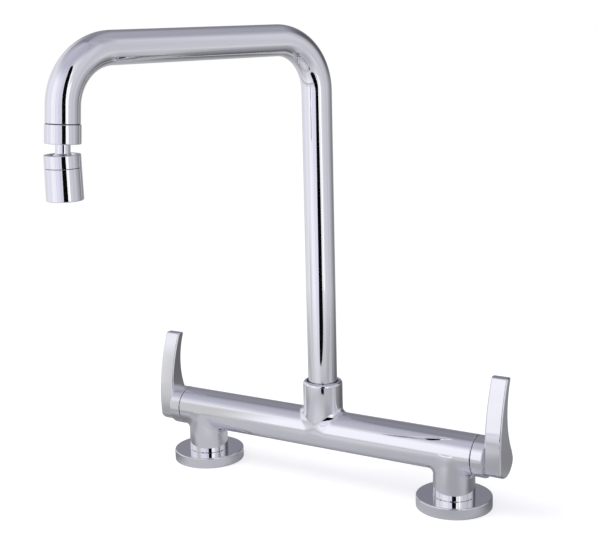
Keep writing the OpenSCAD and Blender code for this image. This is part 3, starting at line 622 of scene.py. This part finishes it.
def spout_path():
    """Rows of (place along the arm, height, direction angle from straight up, inner radius)."""
    bend_turn = 90 - DROP_TILT
    tangent = BEND_R * math.tan(math.radians(bend_turn / 2))
    arm = REACH - tangent - BEND_R
    rows = [(0.0, z, 0.0, TUBE_BORE_R) for z in np.linspace(TUBE_BOTTOM, ARM_Z - BEND_R, RISER_STEPS)]
    for k in range(1, BEND_STEPS + 1):
        angle = math.radians(90 * k / BEND_STEPS)
        rows.append((BEND_R - BEND_R * math.cos(angle), ARM_Z - BEND_R + BEND_R * math.sin(angle), angle,
                     TUBE_BORE_R))
    for share in np.linspace(0, 1, ARM_STEPS)[1:]:
        rows.append((BEND_R + arm * share, ARM_Z, math.pi / 2, TUBE_BORE_R))
    for k in range(1, BEND_STEPS + 1):
        angle = math.radians(bend_turn * k / BEND_STEPS)
        rows.append((BEND_R + arm + BEND_R * math.sin(angle), ARM_Z - BEND_R + BEND_R * math.cos(angle),
                     math.pi / 2 + angle, TUBE_BORE_R))
    last = rows[-1]
    way = (math.sin(last[2]), math.cos(last[2]))
    drop = DROP_LEN - tangent
    rows.append((*last[:3], FERRULE_BORE_R))
    for share in np.linspace(0, 1, DROP_STEPS)[1:]:
        rows.append((last[0] + way[0] * drop * share, last[1] + way[1] * drop * share, last[2],
                     FERRULE_BORE_R))
    return rows


def spout_object():
    """The bent tube and its ferrule in one, with its inner wall and a rounded free end."""
    rows = spout_path()
    size = TUBE_END_ROUND
    s, z, a = rows[-1][:3]
    way = (math.sin(a), math.cos(a))
    # Each ring: place along the arm, height, direction angle, radius, and how far its normal tilts
    outer = [(*row[:3], TUBE_R, 0.0) for row in rows[:-1]]
    for k in range(END_STEPS + 1):
        angle = math.pi / 2 * k / END_STEPS
        back = size * (1 - math.sin(angle))
        outer.append((s - way[0] * back, z - way[1] * back, a, TUBE_R - size + size * math.cos(angle), angle))
    rings = outer + [(*row, math.pi) for row in rows[::-1]]
    angles = circle(AROUND)
    cosine, sine = np.cos(angles), np.sin(angles)
    verts, normals = [], []
    for s, z, a, r, tilt in rings:
        across = np.array([math.cos(a), 0, -math.sin(a)])
        along = np.array([math.sin(a), 0, math.cos(a)])
        radial = cosine[:, None] * across + sine[:, None] * np.array([0, 1.0, 0])
        verts.append(np.array([s, 0, z]) + r * radial)
        normals.append(math.cos(tilt) * radial + (math.sin(tilt) * along if 0 < tilt < 3 else 0))
    matrix = np.array(IN_PLANE)
    verts = place(matrix, np.concatenate(verts))
    normals = (np.concatenate(normals) @ matrix[:3, :3].T).reshape(len(rings), AROUND, 3)
    j = np.arange(AROUND)
    k = (j + 1) % AROUND
    corner_normals = []
    count = len(rings)
    # The flat faces that join the outer wall to the inner one
    flat_ends = {len(outer) - 1: 1, count - 1: -1}
    for i in range(count):
        first, last = normals[i], normals[(i + 1) % count]
        if i in flat_ends:
            along = np.array([math.sin(rings[i][2]), 0, math.cos(rings[i][2])]) * flat_ends[i]
            first = last = np.tile(matrix[:3, :3] @ along, (AROUND, 1))
        corner_normals.append(np.stack([first[j], first[k], last[k], last[j]], 1).reshape(-1, 3))
    return make_object("spout_pipe", verts, ring_faces(count, AROUND), np.concatenate(corner_normals), CHROME,
                       "spout", ["spout_tube", "spout_ferrule"])


spout_object()

# The outlet

DROP = frame_matrix(IN_PLANE, move(REACH, 0, ARM_Z), turn(180 - DROP_TILT, "Y"))
TILT = math.radians(DROP_TILT)
BALL = frame_matrix(IN_PLANE, move(REACH + BALL_AT * math.sin(TILT), 0, ARM_Z - BALL_AT * math.cos(TILT)),
                    turn(180, "Y"))

lathe("collar",
      [(COLLAR_SPIGOT_R, SPIGOT_START, 0.3), (COLLAR_SPIGOT_R, COLLAR_START, 0),
       (COLLAR_R, COLLAR_START, 0.3), (COLLAR_R, COLLAR_END, 0.5), (NECK_HOLE_R, COLLAR_END, 0.35),
       (NECK_HOLE_R, COLLAR_END - COLLAR_FLOOR, 0.1), (COLLAR_BORE_R, COLLAR_END - COLLAR_FLOOR, 0),
       (COLLAR_BORE_R, SPIGOT_START, 0.3)],
      DROP, CHROME, "spout", ["spout_collar"])

meet = math.degrees(math.asin(NECK_R / BALL_R))
ball_low = math.degrees(math.acos(BALL_FLAT / BALL_R))
ball_arc = arc_corners(BALL_AT, BALL_R, ball_low, 180 - meet, BALL_STEPS)
stem_end = BALL_AT - BALL_R * math.cos(math.radians(meet))
stem = [(STEM_BORE_R, BALL_AT + BALL_FLAT, 0.3), *ball_arc[:-1],
        (NECK_R, stem_end, 0.6), (NECK_R, HEAD_START + HEAD_THICK, 0.15),
        (HEAD_R, HEAD_START + HEAD_THICK, 0.15), (HEAD_R, HEAD_START, 0.15), (STEM_BORE_R, HEAD_START, 0.2)]
lathe("ball_and_neck", stem, DROP, CHROME, "outlet_stem", ["ball_stem"])

mouth = math.degrees(math.asin(BALL_MOUTH_R / BALL_SEAT_R))
seat = arc_corners(0, BALL_SEAT_R, 180 - mouth, 90, SEAT_STEPS)
ring = [(RIM_MOUTH_R, -BALL_RING_UP, 0.25), (BALL_RING_R, -BALL_RING_UP, 0.4),
        (BALL_RING_R, BALL_RING_DOWN, 0.12), (RING_SPIGOT_R, BALL_RING_DOWN, 0),
        (RING_SPIGOT_R, RING_SPIGOT_END, 0.3), (BALL_SEAT_R, RING_SPIGOT_END, 0.1), *seat[::-1]]
ball_housing = lathe("ball_housing_ring", ring, BALL, CHROME, "outlet", ["ball_ring"])

# The thread under the sleeve gets a near-black metal as painted shade, so the gap between the two looks dark.
# Its faces lie this near to the thread's radius
ON_THREAD = 0.05
ball_housing.data.materials.append(PAINTED_GAP_SHADE)
for face in ball_housing.data.polygons:
    off_axis = math.hypot(face.center.x / MM - BALL[0, 3], face.center.y / MM - BALL[1, 3])
    if abs(off_axis - RING_SPIGOT_R) < ON_THREAD:
        face.material_index = 1

lathe("aerator_sleeve",
      [(SHELL_BORE_R, SHELL_START, 0.2), (BALL_RING_R, SHELL_START, 0.12), (SHELL_R, SHELL_END, SHELL_ROUND),
       (SHELL_BORE_R - SHELL_LIP, SHELL_END, 0.25), (SHELL_BORE_R - SHELL_LIP, SHELL_END - SHELL_LIP, 0.1),
       (SHELL_BORE_R, SHELL_END - SHELL_LIP, 0)],
      BALL, CHROME, "outlet", ["aerator_shell"])

# Camera, at the photo's place and angle: metres, radians and the lens in millimetres

CAMERA_AT = Vector((0.41043, -0.70647, 0.32642))
YAW, PITCH, ROLL = 0.5444, -0.2112, -0.0248
LENS, SENSOR = 73.12, 36

forward = Vector((-math.sin(YAW) * math.cos(PITCH), math.cos(YAW) * math.cos(PITCH), math.sin(PITCH)))
right_way = Vector((math.cos(YAW), math.sin(YAW), 0))
up_way = right_way.cross(forward)
cam_x = right_way * math.cos(ROLL) + up_way * math.sin(ROLL)
cam_y = up_way * math.cos(ROLL) - right_way * math.sin(ROLL)
camera = bpy.data.objects.new("camera", bpy.data.cameras.new("camera"))
camera.data.lens = LENS
camera.data.sensor_width = SENSOR
camera.data.clip_start = 0.01
turned = Matrix((cam_x, cam_y, -forward)).transposed().to_4x4()
camera.matrix_world = Matrix.Translation(CAMERA_AT) @ turned
bpy.context.scene.collection.objects.link(camera)
bpy.context.scene.camera = camera

# The light tent, seen in the chrome: direction round the faucet in degrees from +X, linear tone and
# how much bluer than white it is
HORIZON = ((-180, 0.76, 1.09), (-170, 0.81, 1.09), (-158, 0.87, 1.09), (-151, 0.92, 1.09), (-147, 0.82, 1.12),
           (-142, 0.88, 1.1), (-130, 0.90, 1.09), (-122, 1.0, 1.07), (-108, 1.0, 1.07), (-100, 1.02, 1.07),
           (-96, 0.74, 1.16), (-91, 0.86, 1.18), (-80, 0.80, 1.2), (-72, 0.72, 1.14), (-44, 0.72, 1.09),
           (-38, 0.88, 1.07), (-31, 0.88, 1.07), (-25, 0.78, 1.08), (-17, 0.72, 1.09), (-8, 0.69, 1.09),
           (0, 0.63, 1.09), (20, 0.63, 1.09), (30, 0.55, 1.09), (40, 0.48, 1.09), (53, 0.38, 1.08),
           (62, 0.27, 1.06), (76, 0.24, 1.06), (93, 0.30, 1.05), (108, 0.46, 1.05), (138, 0.52, 1.04),
           (150, 0.76, 1.05), (164, 0.80, 1.07))
# The same a little above the horizon, darker behind the faucet. START and FULL are the heights in
# degrees between which a tone takes over from the one before, for LOW downward
RAISED = ((-180, 0.76, 1.09), (-165, 0.84, 1.09), (-151, 0.92, 1.09), (-147, 0.82, 1.12), (-142, 0.88, 1.1),
          (-122, 1.0, 1.07), (-100, 1.02, 1.07), (-96, 0.74, 1.16), (-91, 0.86, 1.18), (-80, 0.80, 1.2),
          (-72, 0.72, 1.14), (-44, 0.72, 1.09), (-38, 0.88, 1.07), (-31, 0.88, 1.07), (-25, 0.78, 1.08),
          (-8, 0.69, 1.09), (0, 0.63, 1.09), (20, 0.62, 1.09), (30, 0.66, 1.09), (42, 0.60, 1.09),
          (50, 0.40, 1.08), (58, 0.20, 1.08), (66, 0.12, 1.1), (78, 0.10, 1.12), (90, 0.14, 1.15),
          (103, 0.22, 1.2), (134, 0.28, 1.18), (145, 0.45, 1.1), (152, 0.76, 1.06), (164, 0.80, 1.07))
RAISED_START, RAISED_FULL = -2, 9
# The tent's ceiling and its foot
TOP = ((-180, 0.44, 1.18), (-165, 0.48, 1.18), (-140, 0.56, 1.18), (-110, 0.55, 1.18), (-60, 0.50, 1.18),
       (0, 0.45, 1.18), (30, 0.42, 1.18), (60, 0.40, 1.18), (96, 0.40, 1.18), (125, 0.28, 1.18),
       (158, 0.25, 1.18), (172, 0.40, 1.18))
TOP_START, TOP_FULL = 28, 54
LOW = ((-180, 0.50, 1.05), (-120, 0.54, 1.05), (-60, 0.50, 1.05), (-30, 0.60, 1.05), (-20, 0.70, 1.05),
       (30, 0.68, 1.05), (40, 0.45, 1.05), (55, 0.30, 1.05), (70, 0.18, 1.05), (95, 0.20, 1.05),
       (120, 0.42, 1.05), (150, 0.50, 1.05))
LOW_START, LOW_FULL = 12, 25
# The floor near the faucet, as the chrome mirrors it
NEAR_FLOOR = ((-180, 0.40, 1.05), (-165, 0.42, 1.05), (-148, 0.56, 1.05), (-118, 0.67, 1.05),
              (-92, 0.76, 1.05), (-68, 0.56, 1.05), (-45, 0.56, 1.05), (-20, 0.36, 1.05), (-5, 0.38, 1.05),
              (11, 0.55, 1.05), (24, 0.26, 1.05), (38, 0.24, 1.05), (53, 0.14, 1.05), (77, 0.14, 1.05),
              (95, 0.17, 1.05), (110, 0.26, 1.05), (135, 0.42, 1.05))
# Where it runs from those tones into the horizon's, in metres from the middle
NEAR_AT, FAR_AT = 0.2, 0.62
# Painted shade on the floor beside the levers, which only the chrome mirrors, in metres: middle, half
# lengths and the share of light kept
PAINTED_SHADE_SPOTS = (((0.124, -0.084), (0.055, 0.07), 0.8), ((-0.222, -0.085), (0.075, 0.11), 0.55),
              ((-0.142, -0.003), (0.04, 0.045), 0.45), ((0.152, 0.035), (0.06, 0.045), 0.5))
PAINTED_SHADE_FADE = 0.4, 1.2
# A lighter place in front of the faucet, the same way: middle, half lengths and the light added
LIT_AT, LIT_HALF, LIT_MORE = (0.0, -0.132), (0.105, 0.085), 0.16
LIT_FADE = 0.3, 1.2
# How far the tent's tones waver sideways, as a share of the way round, and its cloth's folds
WAVER, FOLDS, FOLD_DARK, FOLD_LIGHT = 0.004, 27, 0.94, 1.06


def math_node(tree, operation, first, second=None):
    made = tree.nodes.new("ShaderNodeMath")
    made.operation = operation
    for spot, value in enumerate((first, second)):
        if value is None:
            continue
        if isinstance(value, (int, float)):
            made.inputs[spot].default_value = value
        else:
            tree.links.new(value, made.inputs[spot])
    return made.outputs[0]


def share_round(tree, parts):
    """The direction of a vector round z, from 0 at -180 degrees to 1 at +180 degrees."""
    angle = math_node(tree, "ARCTAN2", parts.outputs[1], parts.outputs[0])
    return math_node(tree, "ADD", math_node(tree, "DIVIDE", angle, 2 * math.pi), 0.5)


def ramped(tree, share, rows):
    ramp = tree.nodes.new("ShaderNodeValToRGB")
    stops = ramp.color_ramp.elements
    while len(stops) > 1:
        stops.remove(stops[-1])
    for number, (degrees, tone, blue) in enumerate(rows):
        stop = stops[0] if number == 0 else stops.new((degrees + 180) / 360)
        stop.position = (degrees + 180) / 360
        stop.color = (tone, tone, tone * blue, 1)
    tree.links.new(share, ramp.inputs[0])
    return ramp.outputs[0]


def shader_mix(tree, factor, first, second):
    made = tree.nodes.new("ShaderNodeMixShader")
    tree.links.new(factor, made.inputs[0])
    tree.links.new(first, made.inputs[1])
    tree.links.new(second, made.inputs[2])
    return made.outputs[0]


def build_world():
    world = bpy.data.worlds.new("tent")
    bpy.context.scene.world = world
    world.use_nodes = True
    tree = world.node_tree
    tree.nodes.clear()
    out = tree.nodes.new("ShaderNodeOutputWorld")
    direction = tree.nodes.new("ShaderNodeTexCoord").outputs["Generated"]
    parts = tree.nodes.new("ShaderNodeSeparateXYZ")
    tree.links.new(direction, parts.inputs[0])
    share = share_round(tree, parts)
    waver = noise(tree, direction, 2.2, 2, (0.3, 0.3, 3.0))
    around = math_node(tree, "ADD", share, math_node(tree, "MULTIPLY", ranged(tree, waver, -1, 1), WAVER))
    height = math_node(tree, "MULTIPLY", math_node(tree, "ARCSINE", parts.outputs[2]), 180 / math.pi)
    below = math_node(tree, "MULTIPLY", height, -1.0)
    tone = mixed(tree, eased(tree, height, RAISED_START, RAISED_FULL), ramped(tree, around, HORIZON),
                 ramped(tree, around, RAISED))
    tone = mixed(tree, eased(tree, height, TOP_START, TOP_FULL), tone, ramped(tree, around, TOP))
    tone = mixed(tree, eased(tree, below, LOW_START, LOW_FULL), tone, ramped(tree, around, LOW))
    fold = tree.nodes.new("ShaderNodeTexNoise")
    fold.noise_dimensions = "1D"
    fold.inputs["Scale"].default_value = FOLDS
    fold.inputs["Detail"].default_value = 1
    tree.links.new(around, fold.inputs["W"])
    tent = tree.nodes.new("ShaderNodeBackground")
    tree.links.new(tone, tent.inputs["Color"])
    tree.links.new(ranged(tree, fold.outputs["Fac"], FOLD_DARK, FOLD_LIGHT), tent.inputs["Strength"])
    white = tree.nodes.new("ShaderNodeBackground")
    white.inputs["Color"].default_value = (1, 1, 1, 1)
    light = tree.nodes.new("ShaderNodeLightPath")
    straight = math_node(tree, "MAXIMUM", light.outputs["Is Camera Ray"],
                         light.outputs["Is Transmission Ray"])
    tree.links.new(shader_mix(tree, straight, tent.outputs[0], white.outputs[0]), out.inputs[0])


build_world()

# Floor, cards and light

# The floor's own colour, and the light added to it for the camera and for the chrome
FLOOR_COLOUR, SEEN_MORE, MIRRORED_MORE = (0.53, 0.53, 0.535, 1), 0.67, 0.08
# The part of the floor that the chrome mirrors as it is: its middle and half lengths, in metres
TABLE_AT, TABLE_HALF = (0.035, -0.075), (0.205, 0.155)
TABLE_FADE = 0.9, 1.2
# The floor's rings in millimetres, and how far it lies below the deck plane
FLOOR_HOLE_R, FLOOR_R, FLOOR_RINGS, FLOOR_DROP = 0.01, 620.0, 24, 0.02
# Distances in metres from the middle between which the floor runs into the white background
WHITE_FROM, WHITE_TO = 0.26, 0.58


def distance_node(tree, coords, centre, half):
    """Distance from a place in the plane, in shares of the half lengths in x and y."""
    mapping = tree.nodes.new("ShaderNodeMapping")
    tree.links.new(coords, mapping.inputs["Vector"])
    mapping.inputs["Scale"].default_value = (1 / half[0], 1 / half[1], 0)
    mapping.inputs["Location"].default_value = (-centre[0] / half[0], -centre[1] / half[1], 0)
    away = tree.nodes.new("ShaderNodeVectorMath")
    away.operation = "LENGTH"
    tree.links.new(mapping.outputs[0], away.inputs[0])
    return away.outputs["Value"]


def within(tree, coords, centre, half, fade):
    """One inside an oval in the plane and nothing outside it, with a soft edge."""
    return math_node(tree, "SUBTRACT", 1.0, eased(tree, distance_node(tree, coords, centre, half), *fade))


def floor_material():
    """The white floor. The chrome mirrors its far part as a tone by direction that runs into the tent."""
    made, tree, shader = new_material("floor")
    shader.inputs["Base Color"].default_value = FLOOR_COLOUR
    shader.inputs["Specular IOR Level"].default_value = 0.0
    glow = tree.nodes.new("ShaderNodeEmission")
    light = tree.nodes.new("ShaderNodeLightPath")
    glossy = light.outputs["Is Glossy Ray"]
    seen = math_node(tree, "MULTIPLY", light.outputs["Is Camera Ray"], SEEN_MORE)
    coords = object_coords(tree)
    lit = within(tree, coords, LIT_AT, LIT_HALF, LIT_FADE)
    more = math_node(tree, "ADD", math_node(tree, "MULTIPLY", lit, LIT_MORE), MIRRORED_MORE)
    mirrored_part = math_node(tree, "MULTIPLY", glossy, more)
    tree.links.new(math_node(tree, "ADD", seen, mirrored_part), glow.inputs["Strength"])
    both = tree.nodes.new("ShaderNodeAddShader")
    tree.links.new(shader.outputs[0], both.inputs[0])
    tree.links.new(glow.outputs[0], both.inputs[1])
    near = both.outputs[0]
    unlit = tree.nodes.new("ShaderNodeEmission")
    unlit.inputs["Strength"].default_value = 0
    # Painted shade: the floor beside the levers turns darker in the chrome's reflections only
    for centre, half, kept in PAINTED_SHADE_SPOTS:
        painted_shade = math_node(tree, "MULTIPLY", within(tree, coords, centre, half, PAINTED_SHADE_FADE), 1 - kept)
        near = shader_mix(tree, math_node(tree, "MULTIPLY", glossy, painted_shade), near, unlit.outputs[0])
    parts = tree.nodes.new("ShaderNodeSeparateXYZ")
    tree.links.new(coords, parts.inputs[0])
    share = share_round(tree, parts)
    outward = distance_node(tree, coords, (0, 0), (1, 1))
    far_tone = tree.nodes.new("ShaderNodeEmission")
    tree.links.new(mixed(tree, ranged(tree, outward, 0, 1, NEAR_AT, FAR_AT), ramped(tree, share, NEAR_FLOOR),
                         ramped(tree, share, HORIZON)), far_tone.inputs["Color"])
    off_table = eased(tree, distance_node(tree, coords, TABLE_AT, TABLE_HALF), *TABLE_FADE)
    look = shader_mix(tree, math_node(tree, "MULTIPLY", glossy, off_table), near, far_tone.outputs[0])
    white = tree.nodes.new("ShaderNodeEmission")
    fading = math_node(tree, "MULTIPLY", light.outputs["Is Camera Ray"],
                       eased(tree, outward, WHITE_FROM, WHITE_TO))
    look = shader_mix(tree, fading, look, white.outputs[0])
    out = [n for n in tree.nodes if n.type == "OUTPUT_MATERIAL"][0]
    tree.links.new(look, out.inputs[0])
    return made


def floor_object():
    """The deck plane as thin rings of quads round its middle."""
    verts = ring_points([(0, r) for r in np.linspace(FLOOR_HOLE_R, FLOOR_R, FLOOR_RINGS + 1)], AROUND)
    j = np.arange(AROUND)
    k = (j + 1) % AROUND
    quads = np.concatenate([np.stack([i * AROUND + j, (i + 1) * AROUND + j, (i + 1) * AROUND + k,
                                      i * AROUND + k], 1) for i in range(FLOOR_RINGS)])
    obj = make_object("floor", verts, quads, None, floor_material(), None)
    obj.location = (0, 0, -FLOOR_DROP * MM)


floor_object()


def only_mirrored(obj):
    obj.visible_camera = False
    obj.visible_diffuse = False
    obj.visible_shadow = False
    obj.visible_transmission = False


def card_object(name, centre, facing, outline, material):
    """An upright card, rows of (height, left edge, right edge) in mm. Only reflections see it."""
    angle = math.radians(facing)
    side = np.array([-math.sin(angle), math.cos(angle), 0])
    verts = [np.array(centre) + side * s + np.array([0, 0, z])
             for z, left, right in outline for s in (left, right)]
    quads = np.array([[2 * i, 2 * i + 1, 2 * i + 3, 2 * i + 2] for i in range(len(outline) - 1)])
    only_mirrored(make_object(name, np.array(verts), quads, None, material, None))


def dark_material():
    made, tree, shader = new_material("dark_card")
    shader.inputs["Base Color"].default_value = (0.004, 0.004, 0.005, 1)
    shader.inputs["Roughness"].default_value = 0.9
    shader.inputs["Specular IOR Level"].default_value = 0.0
    return made


def glowing_material(name, tone, soft, soft_top):
    """A lit card that fades out over a share of its width at both ends and of its height at the top."""
    made, tree, shader = new_material(name)
    shader.inputs["Base Color"].default_value = (0, 0, 0, 1)
    shader.inputs["Specular IOR Level"].default_value = 0.0
    shader.inputs["Emission Color"].default_value = (1, 1, 1, 1)
    shader.inputs["Emission Strength"].default_value = tone
    parts = tree.nodes.new("ShaderNodeSeparateXYZ")
    tree.links.new(tree.nodes.new("ShaderNodeTexCoord").outputs["Generated"], parts.inputs[0])
    other = math_node(tree, "SUBTRACT", 1.0, parts.outputs[0])
    near_end = math_node(tree, "MINIMUM", parts.outputs[0], other)
    from_top = math_node(tree, "SUBTRACT", 1.0, parts.outputs[2])
    alpha = math_node(tree, "MULTIPLY", eased(tree, near_end, 0, soft), eased(tree, from_top, 0, soft_top))
    tree.links.new(alpha, shader.inputs["Alpha"])
    return made


# The photographer and camera, as the chrome mirrors them, and the bright gaps of the tent beside them.
# Lengths in millimetres, the angle in degrees from +X
CARD_AWAY, CARD_ANGLE, STRIP_BEHIND, PATCH_LIFT = 620.0, -60.0, 25, 0.3
CARD_WAY = np.array([math.cos(math.radians(CARD_ANGLE)), math.sin(math.radians(CARD_ANGLE)), 0])
CARD_SIDE = np.array([-CARD_WAY[1], CARD_WAY[0], 0])
DARK = dark_material()
card_object("dark_card", CARD_WAY * CARD_AWAY, CARD_ANGLE,
            ((760, -60, -30), (740, -90, 10), (690, -92, 55), (620, -85, 90), (500, -92, 112),
             (400, -95, 118), (300, -95, 128), (230, -93, 138), (180, -110, 144), (140, -124, 152),
             (110, -138, 154), (60, -150, 152), (0, -168, 143)), DARK)


def floor_patch(name, outline):
    """A dark place just above the floor, rows of (way out from the middle, left edge, right edge) in mm."""
    verts = [CARD_WAY * r + CARD_SIDE * s + np.array([0, 0, PATCH_LIFT])
             for r, left, right in outline for s in (left, right)]
    quads = np.array([[2 * i + 2, 2 * i + 3, 2 * i + 1, 2 * i] for i in range(len(outline) - 1)])
    only_mirrored(make_object(name, np.array(verts), quads, None, DARK, None))


floor_patch("dark_card_foot", ((620, -168, 143), (566, -165, 122), (498, -153, 112), (435, -140, 93),
                               (377, -130, 58), (325, -113, 0), (295, -104, -60)))
floor_patch("dark_spot", ((246, -46, 22), (221, -44, 22)))
card_object("bright_strip", CARD_WAY * (CARD_AWAY + STRIP_BEHIND), CARD_ANGLE,
            ((640, 70, 150), (500, 100, 190), (400, 100, 212), (270, 100, 240), (150, 100, 218), (0, 95, 195),
             (-60, 80, 150)), glowing_material("bright_strip", 1.22, 0.25, 0.12))
card_object("bright_card", (634.0, -412.0, 0), -33, ((460, -70, 70), (150, -64, 64), (-60, -50, 50)),
            glowing_material("bright_card", 1.2, 0.15, 0.1))
# A greyer wall close to the left handle
card_object("grey_card", (-188.0, -140.0, 0), -90, ((165, -85, 85), (2, -85, 85)),
            glowing_material("grey_card", 0.64, 0.42, 0.4))


def soft_light(name, at, target, size, power):
    data = bpy.data.lights.new(name, "AREA")
    data.shape = "DISK"
    data.size = size
    data.energy = power
    obj = bpy.data.objects.new(name, data)
    bpy.context.scene.collection.objects.link(obj)
    obj.location = at
    obj.rotation_euler = (Vector(target) - Vector(at)).to_track_quat("-Z", "Y").to_euler()
    obj.visible_glossy = False
    obj.visible_camera = False


# The soft light from the left, in metres and watts
KEY_AT, KEY_TARGET, KEY_SIZE, KEY_POWER = (-0.75, -0.45, 1.35), (0, 0, 0.05), 1.1, 11
soft_light("soft_key", KEY_AT, KEY_TARGET, KEY_SIZE, KEY_POWER)

bpy.context.scene.view_settings.view_transform = "Standard"
